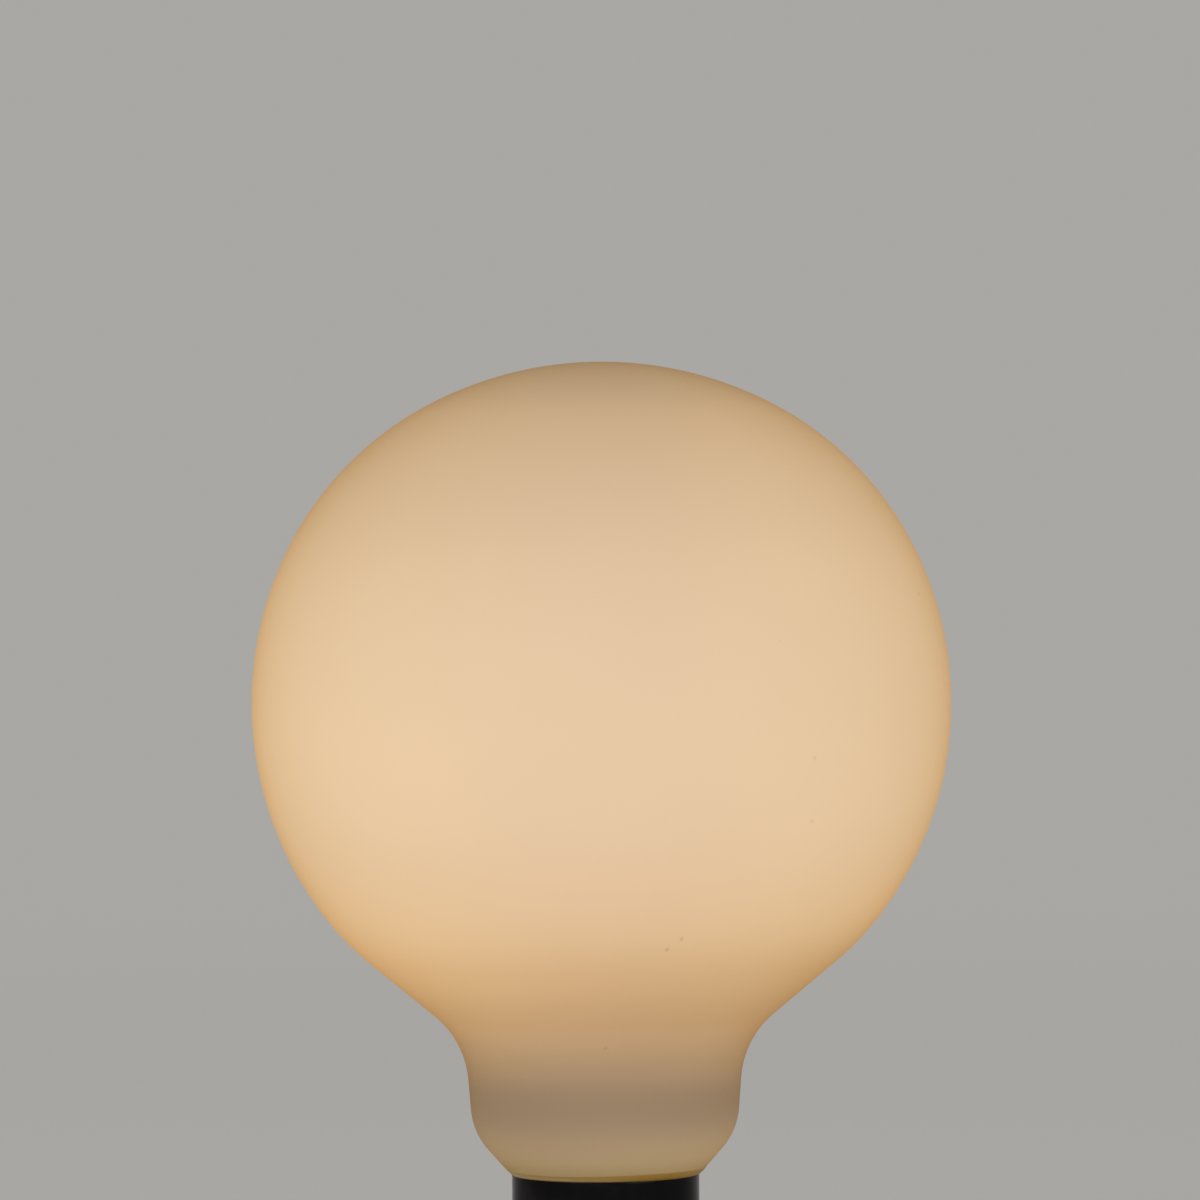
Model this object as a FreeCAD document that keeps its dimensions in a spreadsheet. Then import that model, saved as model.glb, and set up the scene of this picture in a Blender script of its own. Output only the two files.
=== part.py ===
import FreeCAD, Part
import math
import os
import Sketcher

# Globe bulb: a blown opal glass globe on a short neck, cemented into a rolled screw cap.
# Millimetres, +Z up along the bulb's axis, origin on the centre contact's flat face.

SIZES = {
    # Glass globe
    "globe_diameter": 95.0,
    "crown_drop": 1.1,
    "crown_flattening": 2.9,
    "shoulder_tightening": 3.0,
    "underside_tightening": 8.5,
    # Glass throat, neck and seat, with leans from the axis in degrees
    "flank_lean": 50.3,
    "flank_inset": 0.22,
    "throat_radius": 12.6,
    "neck_diameter": 37.1,
    "neck_lean": 4.4,
    "neck_length": 4.1,
    "heel_radius": 9.2,
    "seat_lean": 41.7,
    "glass_overhang": 0.63,
    # Sealed end of the glass inside the cap
    "seal_clearance": 1.15,
    "seal_chamfer": 0.6,
    # Basing cement
    "cement_gap": 0.65,
    "cement_floor": 0.6,
    "cement_setback": 0.3,
    # Rolled screw shell of the cap
    "sheet_thickness": 0.3,
    "collar_inset": 0.35,
    "collar_length": 5.15,
    "collar_shoulder": 0.6,
    "curl_radius": 3.0,
    "lip_height": 4.6,
    # Screw thread
    "thread_diameter": 26.2,
    "thread_depth": 1.05,
    "thread_pitch": 3.629,
    "thread_turns": 3.0,
    "thread_base": 2.4,
    "thread_crest": 1.1,
    "thread_runout": 2.4,
    # Black glass insulator and centre contact
    "insulator_foot_diameter": 11.2,
    "contact_diameter": 9.6,
    "contact_face_diameter": 7.0,
    "contact_thickness": 1.2,
    "contact_bevel": 0.55,
}

SHEET_NAME = "Sizes"
START, END, CENTRE = range(1, 4)
LEVEL_AXIS, UPRIGHT_AXIS = range(-1, -3, -1)
ORIGIN_POINT = (LEVEL_AXIS, START)
SINE_OF_45 = math.sqrt(0.5)
RUNOUT_CUT_DEPTHS = 2


class Size:
    """A length held as a number and as the sheet expression that drives it."""

    def __init__(self, value, text):
        self.value = value
        self.text = text

    def joined(self, sign, other, value):
        return Size(value, f"({self.text} {sign} {wording(other)})")

    def __add__(self, other):
        return self.joined("+", other, self.value + number(other))

    def __sub__(self, other):
        return self.joined("-", other, self.value - number(other))

    def __mul__(self, other):
        return self.joined("*", other, self.value * number(other))

    def __truediv__(self, other):
        return self.joined("/", other, self.value / number(other))


def number(length):
    return length.value if isinstance(length, Size) else float(length or 0)


def wording(length):
    return length.text if isinstance(length, Size) else repr(length)


def size(name):
    return Size(SIZES[name], f"{SHEET_NAME}.{name}")


def make_sheet(doc):
    sheet = doc.addObject("Spreadsheet::Sheet", SHEET_NAME)
    for row, (name, value) in enumerate(SIZES.items(), start=1):
        sheet.set(f"A{row}", name)
        sheet.set(f"B{row}", str(value))
        sheet.setAlias(f"B{row}", name)
    doc.recompute()


def make_body(doc, label):
    body = doc.addObject("PartDesign::Body", label)
    body.Label = label
    body.Placement = FreeCAD.Placement()
    return body


def section_sketch(body, name):
    """Sketch in the body's XZ plane: x is the radius and y is the height."""
    plane = next(item for item in body.Origin.OriginFeatures if item.Role == "XZ_Plane")
    sketch = body.newObject("Sketcher::SketchObject", name)
    sketch.AttachmentSupport = [(plane, "")]
    sketch.MapMode = "FlatFace"
    return sketch


def at(radius, height):
    return FreeCAD.Vector(number(radius), number(height), 0)


def drive(sketch, driver, *where):
    """Adds a dimension whose value comes from the sheet."""
    index = sketch.addConstraint(Sketcher.Constraint(*where, driver.value))
    sketch.setExpression(f"Constraints[{index}]", driver.text)


def drive_lean(sketch, line, driver):
    """Sets an upward line's lean from the axis, in degrees on the sheet."""
    angle = math.radians(90 - driver.value)
    index = sketch.addConstraint(Sketcher.Constraint("Angle", line, angle))
    sketch.setExpression(f"Constraints[{index}]", f"(90 - {driver.text}) * 1 deg")


def hold_on(sketch, point, axis):
    sketch.addConstraint(Sketcher.Constraint("PointOnObject", *point, axis))


def drive_point(sketch, point, radius, height):
    """Places a sketch point by radius and height, where None is on the axis or the ground."""
    if radius is None:
        hold_on(sketch, point, UPRIGHT_AXIS)
    else:
        drive(sketch, radius, "DistanceX", *ORIGIN_POINT, *point)
    if height is None:
        hold_on(sketch, point, LEVEL_AXIS)
    else:
        drive(sketch, height, "DistanceY", *ORIGIN_POINT, *point)


def add_line(sketch, first, last):
    return sketch.addGeometry(Part.LineSegment(first, last), False)


def add_arc(sketch, centre, radius, start_degrees, end_degrees):
    circle = Part.Circle(centre, FreeCAD.Vector(0, 0, 1), radius)
    angles = (math.radians(start_degrees), math.radians(end_degrees))
    return sketch.addGeometry(Part.ArcOfCircle(circle, *angles), False)


def join(sketch, kind, first, first_end, second, second_end):
    sketch.addConstraint(Sketcher.Constraint(kind, first, first_end, second, second_end))


def closed_section(sketch, corners):
    """Draws a closed straight-sided section from (radius, height) corners."""
    places = [at(*corner) for corner in corners]
    lines = [add_line(sketch, place, places[index - len(places) + 1])
             for index, place in enumerate(places)]
    for index, line in enumerate(lines):
        join(sketch, "Coincident", line, END, lines[index - len(lines) + 1], START)
    for line, corner in zip(lines, corners):
        drive_point(sketch, (line, START), *corner)


def revolve(body, sketch, name, feature="PartDesign::Revolution"):
    turned = body.newObject(feature, name)
    turned.Profile = sketch
    turned.ReferenceAxis = (sketch, ["V_Axis"])
    turned.Angle = 360


# Heights and radii that neighbouring pieces share

def curl_top():
    return size("lip_height") + size("curl_radius")


def thread_top():
    return curl_top() + size("thread_turns") * size("thread_pitch") + size("thread_base")


def collar_bottom():
    return thread_top() + size("collar_shoulder")


def collar_floor():
    """Height of the collar's inner shoulder."""
    return collar_bottom() + size("sheet_thickness") / 2


def rim_height():
    return collar_bottom() + size("collar_length")


def crest_radius():
    return size("thread_diameter") / 2


def root_radius():
    return crest_radius() - size("thread_depth")


def collar_radius():
    return crest_radius() - size("collar_inset")


def collar_bore():
    return collar_radius() - size("sheet_thickness")


def lip_radius():
    return root_radius() - size("curl_radius")


def seal_radius():
    return collar_bore() - size("seal_clearance")


def cement_bottom():
    return collar_floor() + size("cement_floor")


def glass_end_height():
    return rim_height() + size("cement_gap")


def glass_end_radius():
    return collar_radius() + size("glass_overhang")


def outward(degrees_below_level):
    """Unit vector in the section, pointing out and down by an angle."""
    angle = math.radians(degrees_below_level)
    return FreeCAD.Vector(math.cos(angle), -math.sin(angle), 0)


def along(degrees_from_axis):
    """Unit vector in the section, pointing up and out by an angle from the axis."""
    angle = math.radians(degrees_from_axis)
    return FreeCAD.Vector(math.sin(angle), math.cos(angle), 0)


class GlassPlan:
    """Radii, centres and turning angles of the blown outline, worked up from the glass end."""

    def __init__(self):
        self.globe = size("globe_diameter") / 2
        self.crown = self.globe + size("crown_flattening")
        self.shoulder = self.globe - size("shoulder_tightening")
        self.underside = self.globe - size("underside_tightening")
        self.throat = size("throat_radius")
        self.heel = size("heel_radius")
        self.neck = size("neck_diameter") / 2
        self.flank_lean = SIZES["flank_lean"]
        self.neck_lean = SIZES["neck_lean"]
        self.seat_lean = SIZES["seat_lean"]
        self.place_neck()
        self.place_globe()
        self.place_crown()

    def place_neck(self):
        """Seat, heel, straight neck and throat."""
        seat, neck = math.radians(self.seat_lean), math.radians(self.neck_lean)
        neck_length = SIZES["neck_length"]
        self.corner = at(glass_end_radius(), glass_end_height())
        heel_run = self.heel.value * (math.cos(neck) - math.cos(seat))
        seat_run = self.neck.value - self.corner.x - heel_run - neck_length * math.sin(neck)
        self.seat_top = self.corner + along(self.seat_lean) * (seat_run / math.sin(seat))
        self.heel_centre = self.seat_top - outward(self.seat_lean) * self.heel.value
        self.neck_bottom = self.heel_centre + outward(self.neck_lean) * self.heel.value
        self.neck_top = self.neck_bottom + along(self.neck_lean) * neck_length
        self.throat_centre = self.neck_top + outward(self.neck_lean) * self.throat.value

    def place_globe(self):
        """Flank, underside and globe, which rest on the throat."""
        normal = outward(self.flank_lean)
        inset = SIZES["flank_inset"]
        tightening = SIZES["underside_tightening"]
        self.flank_bottom = self.throat_centre - normal * self.throat.value
        flank_reach = self.globe.value - inset
        self.globe_centre = at(0, (normal.dot(self.flank_bottom) - flank_reach) / normal.y)
        self.globe_low = self.flank_lean - math.degrees(math.acos(1 - inset / tightening))
        self.underside_centre = self.globe_centre + outward(self.globe_low) * tightening
        self.flank_top = self.underside_centre + normal * self.underside.value

    def place_crown(self):
        """Shoulder and flatter crown, which close the globe on the axis."""
        tightening = SIZES["shoulder_tightening"]
        depth = SIZES["crown_flattening"] + SIZES["crown_drop"]
        reach = self.crown.value - self.shoulder.value
        rise = (reach ** 2 - tightening ** 2 - depth ** 2) / (2 * tightening * depth)
        self.globe_high = math.degrees(math.asin(rise))
        self.shoulder_centre = self.globe_centre + outward(-self.globe_high) * tightening
        self.crown_centre = self.globe_centre - at(0, depth)
        spread = self.shoulder_centre - self.crown_centre
        self.shoulder_high = math.degrees(math.atan2(spread.y, spread.x))
        self.crown_top = self.crown_centre + at(0, self.crown)


def seal_corners():
    """Corners of the hidden end inside the cap, from the seat inwards to the axis."""
    return [
        (glass_end_radius(), glass_end_height()),
        (seal_radius(), glass_end_height()),
        (seal_radius(), collar_floor() + size("seal_chamfer")),
        (seal_radius() - size("seal_chamfer"), collar_floor()),
        (None, collar_floor()),
    ]


def glass_section(sketch):
    """Half-section of the blown glass, from the crown down to the sealed end."""
    plan = GlassPlan()
    crown = add_arc(sketch, plan.crown_centre, plan.crown.value, plan.shoulder_high, 90)
    shoulder = add_arc(sketch, plan.shoulder_centre, plan.shoulder.value,
                       plan.globe_high, plan.shoulder_high)
    globe = add_arc(sketch, plan.globe_centre, plan.globe.value, -plan.globe_low, plan.globe_high)
    underside = add_arc(sketch, plan.underside_centre, plan.underside.value,
                        -plan.flank_lean, -plan.globe_low)
    flank = add_line(sketch, plan.flank_bottom, plan.flank_top)
    throat = add_arc(sketch, plan.throat_centre, plan.throat.value,
                     180 - plan.flank_lean, 180 - plan.neck_lean)
    neck = add_line(sketch, plan.neck_bottom, plan.neck_top)
    heel = add_arc(sketch, plan.heel_centre, plan.heel.value, -plan.seat_lean, -plan.neck_lean)
    seat = add_line(sketch, plan.corner, plan.seat_top)
    corners = seal_corners()
    places = [*(at(*corner) for corner in corners), plan.crown_top]
    seal = [add_line(sketch, first, last) for first, last in zip(places, places[1:])]

    join(sketch, "Tangent", crown, START, shoulder, END)
    join(sketch, "Tangent", shoulder, START, globe, END)
    join(sketch, "Tangent", globe, START, underside, END)
    join(sketch, "Tangent", underside, START, flank, END)
    join(sketch, "Tangent", flank, START, throat, START)
    join(sketch, "Tangent", throat, END, neck, END)
    join(sketch, "Tangent", neck, START, heel, END)
    join(sketch, "Tangent", heel, START, seat, END)
    join(sketch, "Coincident", seat, START, seal[0], START)
    for first, last in zip(seal, seal[1:]):
        join(sketch, "Coincident", first, END, last, START)
    join(sketch, "Coincident", seal[-1], END, crown, END)

    for line, corner in zip(seal, corners):
        drive_point(sketch, (line, START), *corner)
    for point in ((crown, CENTRE), (crown, END), (globe, CENTRE)):
        hold_on(sketch, point, UPRIGHT_AXIS)
    radii = ((crown, plan.crown), (shoulder, plan.shoulder), (globe, plan.globe),
             (underside, plan.underside), (throat, plan.throat), (heel, plan.heel))
    for arc, radius in radii:
        drive(sketch, radius, "Radius", arc)
    for line, lean in ((flank, "flank_lean"), (neck, "neck_lean"), (seat, "seat_lean")):
        drive_lean(sketch, line, size(lean))
    drive(sketch, plan.neck, "DistanceX", *ORIGIN_POINT, neck, END)
    drive(sketch, size("neck_length"), "Distance", neck)
    drive(sketch, plan.globe - size("flank_inset"), "Distance", globe, CENTRE, flank)
    drive(sketch, plan.globe - size("crown_drop"), "DistanceY", globe, CENTRE, crown, END)


def glass_envelope(doc):
    """Blown globe, throat, neck and sealed end in one piece."""
    body = make_body(doc, "glass_envelope")
    sketch = section_sketch(body, "glass_outline")
    glass_section(sketch)
    revolve(body, sketch, "blown_glass")
    return body


def cement_ring(doc):
    """Cement that fills the collar round the glass and shows as a bead above the rim."""
    body = make_body(doc, "cement_ring")
    sketch = section_sketch(body, "cement_section")
    closed_section(sketch, [
        (seal_radius(), glass_end_height()),
        (glass_end_radius() - size("cement_setback"), glass_end_height()),
        (collar_radius(), rim_height()),
        (collar_bore(), rim_height()),
        (collar_bore(), cement_bottom()),
        (seal_radius(), cement_bottom()),
    ])
    revolve(body, sketch, "cast_cement")
    return body


def curl_bore():
    """Corners of the curl's inner side, from the lip up to the thread's bore."""
    inner_curl = size("curl_radius") - size("sheet_thickness")
    halfway = inner_curl * SINE_OF_45
    return [
        (lip_radius(), size("lip_height") + size("sheet_thickness")),
        (lip_radius() + halfway, curl_top() - halfway),
        (root_radius() - size("sheet_thickness"), curl_top()),
    ]


def shell_section(sketch):
    """Half-section of the drawn sheet: collar, thread root and the curl round the insulator."""
    walls = [
        (root_radius(), curl_top()),
        (root_radius(), thread_top()),
        (collar_radius(), collar_bottom()),
        (collar_radius(), rim_height()),
        (collar_bore(), rim_height()),
        (collar_bore(), collar_floor()),
        (root_radius() - size("sheet_thickness"), collar_floor() - size("collar_shoulder")),
        *reversed(curl_bore()),
    ]
    lip = (lip_radius(), size("lip_height"))
    curl = size("curl_radius")
    curl_arc = add_arc(sketch, at(lip_radius(), curl_top()), curl.value, -90, 0)
    places = [at(*corner) for corner in [*walls, lip]]
    lines = [add_line(sketch, first, last) for first, last in zip(places, places[1:])]
    for first, last in zip(lines, lines[1:]):
        join(sketch, "Coincident", first, END, last, START)
    join(sketch, "Coincident", curl_arc, END, lines[0], START)
    join(sketch, "Coincident", lines[-1], END, curl_arc, START)
    for line, corner in zip(lines, walls):
        drive_point(sketch, (line, START), *corner)
    drive(sketch, curl, "Radius", curl_arc)
    sketch.addConstraint(Sketcher.Constraint("Horizontal", curl_arc, CENTRE, curl_arc, END))
    sketch.addConstraint(Sketcher.Constraint("Vertical", curl_arc, CENTRE, curl_arc, START))


def ridge_section(sketch):
    """Half-section of one thread ridge, its foot buried in the sheet by half its thickness."""
    foot_radius = root_radius() - size("sheet_thickness") / 2
    half_foot = size("thread_base") / 2
    half_crest = size("thread_crest") / 2
    middle = curl_top() + half_foot
    closed_section(sketch, [
        (foot_radius, middle - half_foot),
        (crest_radius(), middle - half_crest),
        (crest_radius(), middle + half_crest),
        (foot_radius, middle + half_foot),
    ])


def cut_runouts(body, doc):
    """Turns the thread's two ends down to the root on cones, so that the ridge fades out."""
    clear_radius = root_radius() + size("thread_depth") * RUNOUT_CUT_DEPTHS
    fade = size("thread_runout") * RUNOUT_CUT_DEPTHS
    low = curl_top()
    high = thread_top()
    ends = (
        ("lower_runout", [(root_radius(), low), (clear_radius, low), (clear_radius, low + fade)]),
        ("upper_runout", [(root_radius(), high), (clear_radius, high - fade), (clear_radius, high)]),
    )
    for name, corners in ends:
        sketch = section_sketch(body, f"{name}_section")
        closed_section(sketch, corners)
        revolve(body, sketch, name, "PartDesign::Groove")
        doc.recompute()


def cap_shell(doc):
    """Rolled metal shell with a right-hand screw thread that fades out at both ends."""
    body = make_body(doc, "cap_shell")
    sheet_sketch = section_sketch(body, "shell_section")
    shell_section(sheet_sketch)
    revolve(body, sheet_sketch, "drawn_sheet")
    doc.recompute()
    ridge_sketch = section_sketch(body, "ridge_section")
    ridge_section(ridge_sketch)
    ridge = body.newObject("PartDesign::AdditiveHelix", "screw_thread")
    ridge.Profile = ridge_sketch
    ridge.ReferenceAxis = (ridge_sketch, ["V_Axis"])
    ridge.Mode = "pitch-turns-angle"
    ridge.LeftHanded = False
    ridge.setExpression("Pitch", size("thread_pitch").text)
    ridge.setExpression("Turns", size("thread_turns").text)
    doc.recompute()
    cut_runouts(body, doc)
    return body


def cap_insulator(doc):
    """Black glass moulded into the shell's curl, tapering down to the contact."""
    body = make_body(doc, "cap_insulator")
    sketch = section_sketch(body, "insulator_section")
    foot = size("contact_thickness")
    closed_section(sketch, [
        (None, curl_top()),
        (None, foot),
        (size("insulator_foot_diameter") / 2, foot),
        (lip_radius(), size("lip_height")),
        *curl_bore(),
    ])
    revolve(body, sketch, "moulded_insulator")
    return body


def centre_contact(doc):
    """Stamped contact plate with a bevelled edge and a flat face at the origin."""
    body = make_body(doc, "centre_contact")
    sketch = section_sketch(body, "contact_section")
    closed_section(sketch, [
        (None, size("contact_thickness")),
        (None, None),
        (size("contact_face_diameter") / 2, None),
        (size("contact_diameter") / 2, size("contact_bevel")),
        (size("contact_diameter") / 2, size("contact_thickness")),
    ])
    revolve(body, sketch, "stamped_contact")
    return body


def check_document(doc, bodies):
    """Stops before anything is written if a feature failed or a solid is unsound."""
    failed = [item.Name for item in doc.Objects
              if "Invalid" in item.State or "Error" in item.State]
    unsound = [body.Label for body in bodies
               if body.Shape.isNull() or not body.Shape.isValid() or len(body.Shape.Solids) != 1]
    if failed or unsound:
        raise RuntimeError(f"failed features {failed}, unsound solids {unsound}")


def main():
    doc = FreeCAD.newDocument("globe_bulb")
    make_sheet(doc)
    makers = (glass_envelope, cement_ring, cap_shell, cap_insulator, centre_contact)
    bodies = [maker(doc) for maker in makers]
    doc.recompute()
    check_document(doc, bodies)
    os.makedirs("parts", exist_ok=True)
    for body in bodies:
        body.Shape.exportStep(os.path.join("parts", f"{body.Label}.step"))
        box = body.Shape.BoundBox
        print(f"{body.Label}: {body.Shape.Volume:.1f} mm3, z {box.ZMin:.2f} to {box.ZMax:.2f}")


main()
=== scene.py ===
"""Globe bulb: a lit opal glass globe cemented into a rolled screw cap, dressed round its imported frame."""

import logging
import math
from abc import ABC, abstractmethod
from dataclasses import dataclass
from enum import Enum
from typing import ClassVar, Sequence, Union

import bmesh
import bpy
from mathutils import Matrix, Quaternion, Vector


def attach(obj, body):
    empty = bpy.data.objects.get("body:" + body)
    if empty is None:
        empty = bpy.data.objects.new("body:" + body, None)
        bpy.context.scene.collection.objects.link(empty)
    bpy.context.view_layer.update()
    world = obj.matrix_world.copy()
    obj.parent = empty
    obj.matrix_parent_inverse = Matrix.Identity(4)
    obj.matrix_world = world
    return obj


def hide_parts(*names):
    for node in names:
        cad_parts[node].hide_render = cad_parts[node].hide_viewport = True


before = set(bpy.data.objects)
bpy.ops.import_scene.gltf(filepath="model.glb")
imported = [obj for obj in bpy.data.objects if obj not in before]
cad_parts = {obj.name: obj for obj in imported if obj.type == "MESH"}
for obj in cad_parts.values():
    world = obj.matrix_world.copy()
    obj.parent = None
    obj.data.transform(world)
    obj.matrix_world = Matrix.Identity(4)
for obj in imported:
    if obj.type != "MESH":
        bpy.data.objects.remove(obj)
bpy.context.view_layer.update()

log = logging.getLogger("globe_bulb")

MM = 0.001
BODY = "root"
PHOTO_SIDE = 1200
SENSOR_WIDTH = 36.0
SHARP_ANGLE = math.radians(32)
ROUND_RAMP = "CARDINAL"
SAME_PLACE = 1e-6
ARC_STEPS = 4
LEVEL = (1.0, 1.0, 0.0)
ORIGIN = (0.0, 0.0, 0.0)
WHITE = (1.0, 1.0, 1.0)

Colour = tuple[float, float, float]
Point = tuple[float, float, float]
Place = tuple[float, float]
Span = tuple[float, float]
Socket = bpy.types.NodeSocket
Value = Union[Socket, float]


class Node(Enum):
    """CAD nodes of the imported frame."""

    GLASS = "glass_envelope"
    CEMENT = "cement_ring"
    SHELL = "cap_shell"
    INSULATOR = "cap_insulator"
    CONTACT = "centre_contact"


class Slot(Enum):
    """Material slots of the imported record."""

    OPAL_GLASS = "opal_glass"
    CEMENT = "cement"
    CAP_METAL = "cap_metal"
    BLACK_GLASS = "black_glass"
    CONTACT_METAL = "contact_metal"


@dataclass(frozen=True)
class Stop:
    """One stop of a ramp that runs up the bulb.

    Args:
        height: height above the contact face, in millimetres.
        level: value at that height, from 0 to 1.
    """

    height: float
    level: float


@dataclass(frozen=True)
class Grain:
    """Settings of a noise texture.

    Args:
        scale: waves per metre.
        detail: octaves of finer noise.
        roughness: how strong the finer noise is.
    """

    scale: float
    detail: float
    roughness: float = 0.5


@dataclass(frozen=True)
class Sway:
    """A value that noise moves about a middle.

    Args:
        middle: the value where the noise is 0.5.
        reach: how far the value moves as the noise goes from 0.5 to 1.
    """

    middle: float
    reach: float


@dataclass(frozen=True)
class Relief:
    """Settings of a bump.

    Args:
        strength: share of the bump that shows.
        depth: depth of the bump in millimetres.
    """

    strength: float
    depth: float


class Board:
    """A node tree that nodes are laid out and wired on."""

    def __init__(self, tree: bpy.types.NodeTree) -> None:
        """Takes the tree to work on."""
        self.tree = tree

    def add(self, kind: str, **settings: object) -> bpy.types.Node:
        """Adds a node.

        Args:
            kind: Blender's name of the node type.
            settings: the node's own properties.

        Returns:
            The new node.
        """
        node = self.tree.nodes.new(kind)
        for name, setting in settings.items():
            setattr(node, name, setting)
        return node

    def feed(self, socket: Socket, value: object) -> None:
        """Wires a socket to another one, or sets its number, vector or colour."""
        if isinstance(value, bpy.types.NodeSocket):
            self.tree.links.new(value, socket)
        else:
            socket.default_value = value

    def math(self, operation: str, *values: Value) -> Socket:
        """Adds a Math node.

        Args:
            operation: Blender's name of the operation.
            values: sockets or numbers, in the node's order.

        Returns:
            The node's result.
        """
        node = self.add("ShaderNodeMath", operation=operation)
        for socket, value in zip(node.inputs, values):
            self.feed(socket, value)
        return node.outputs[0]

    def vector(self, operation: str, first: object, second: object) -> bpy.types.Node:
        """Adds a Vector Math node for two vectors.

        Args:
            operation: Blender's name of the operation.
            first: first socket or vector.
            second: second socket or vector.

        Returns:
            The new node.
        """
        node = self.add("ShaderNodeVectorMath", operation=operation)
        self.feed(node.inputs[0], first)
        self.feed(node.inputs[1], second)
        return node

    def scaled(self, vector: object, factor: Value) -> Socket:
        """Adds a Vector Math node that scales a vector or a colour.

        Args:
            vector: socket, vector or colour.
            factor: what it is multiplied by.

        Returns:
            The scaled vector.
        """
        node = self.add("ShaderNodeVectorMath", operation="SCALE")
        self.feed(node.inputs[0], vector)
        self.feed(node.inputs["Scale"], factor)
        return node.outputs[0]

    def mapped(self, value: Socket, low: Value, high: Value, start: Value, end: Value,
               smooth: bool = False) -> Socket:
        """Adds a Map Range node.

        Args:
            value: what is mapped.
            low: value that gives start.
            high: value that gives end.
            start: result at low.
            end: result at high.
            smooth: whether the ends are eased.

        Returns:
            The mapped value, held between start and end.
        """
        node = self.add("ShaderNodeMapRange", clamp=True)
        node.interpolation_type = "SMOOTHSTEP" if smooth else "LINEAR"
        for socket, part in zip(node.inputs, (value, low, high, start, end)):
            self.feed(socket, part)
        return node.outputs["Result"]

    def split(self, vector: Socket) -> bpy.types.Node:
        """Adds a node that gives a vector's X, Y and Z."""
        node = self.add("ShaderNodeSeparateXYZ")
        self.feed(node.inputs[0], vector)
        return node

    def climbed(self, height: Socket, span: Span, start: float = 0.0, end: float = 1.0,
                smooth: bool = True) -> Socket:
        """Maps a height in metres over a span in millimetres, held between start and end."""
        return self.mapped(height, span[0] * MM, span[1] * MM, start, end, smooth)

    def noise(self, place: Socket, grain: Grain) -> Socket:
        """Adds a noise texture.

        Args:
            place: where the noise is read.
            grain: the noise's settings.

        Returns:
            The noise, around 0.5.
        """
        node = self.add("ShaderNodeTexNoise", noise_dimensions="3D")
        self.feed(node.inputs["Vector"], place)
        self.feed(node.inputs["Scale"], grain.scale)
        self.feed(node.inputs["Detail"], grain.detail)
        self.feed(node.inputs["Roughness"], grain.roughness)
        return node.outputs[0]

    def swayed(self, noise: Socket, sway: Sway) -> Socket:
        """Turns noise around 0.5 into a value around a middle."""
        return self.math("MULTIPLY_ADD", noise, 2 * sway.reach, sway.middle - sway.reach)

    def mixed(self, share: Value, first: object, second: object) -> Socket:
        """Adds a colour mix.

        Args:
            share: share of the second colour.
            first: first socket or colour.
            second: second socket or colour.

        Returns:
            The mixed colour.
        """
        node = self.add("ShaderNodeMix", data_type="RGBA")
        colours = [socket for socket in node.inputs if socket.type == "RGBA"]
        self.feed(node.inputs[0], share)
        self.feed(colours[0], first if isinstance(first, bpy.types.NodeSocket) else (*first, 1.0))
        self.feed(colours[1], second if isinstance(second, bpy.types.NodeSocket) else (*second, 1.0))
        return next(socket for socket in node.outputs if socket.type == "RGBA")

    def ramp(self, share: Socket, stops: Sequence[Stop], span: Span) -> Socket:
        """Adds a ramp of grey levels.

        Args:
            share: where the ramp is read, from 0 to 1 over the span.
            stops: the ramp's stops.
            span: heights at which the ramp starts and ends.

        Returns:
            The level.
        """
        node = self.add("ShaderNodeValToRGB")
        elements = node.color_ramp.elements
        node.color_ramp.interpolation = ROUND_RAMP
        low, high = span
        for index, stop in enumerate(sorted(stops, key=lambda stop: stop.height)):
            position = (stop.height - low) / (high - low)
            element = elements[index] if index < len(elements) else elements.new(position)
            element.position = position
            element.color = (stop.level,) * 3 + (1.0,)
        self.feed(node.inputs[0], share)
        return node.outputs["Color"]

    def bump(self, height: Socket, relief: Relief) -> Socket:
        """Adds a bump.

        Args:
            height: the height, from 0 to 1.
            relief: the bump's strength and depth.

        Returns:
            The bumped normal.
        """
        node = self.add("ShaderNodeBump")
        self.feed(node.inputs["Strength"], relief.strength)
        self.feed(node.inputs["Distance"], relief.depth * MM)
        self.feed(node.inputs["Height"], height)
        return node.outputs["Normal"]


class Finish(ABC):
    """A procedural finish, made once and shared by the pieces that have it."""

    name: str

    def material(self) -> bpy.types.Material:
        """Makes the material.

        Returns:
            The new material.
        """
        made = bpy.data.materials.new(self.name)
        made.use_nodes = True
        shader = next(node for node in made.node_tree.nodes if node.type == "BSDF_PRINCIPLED")
        self.paint(Board(made.node_tree), shader)
        return made

    @abstractmethod
    def paint(self, board: Board, shader: bpy.types.Node) -> None:
        """Wires the finish to its shader."""


def object_place(board: Board) -> Socket:
    """Gives the place on the object, in metres."""
    return board.add("ShaderNodeTexCoord").outputs["Object"]


@dataclass(frozen=True)
class Speck:
    """A speck of dust on the glass.

    Args:
        height: height above the contact face, in millimetres.
        turn: angle about the axis from +X, in degrees.
        radius: radius of the speck in millimetres.
        shade: share of the light that it takes.
    """

    height: float
    turn: float
    radius: float
    shade: float


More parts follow.
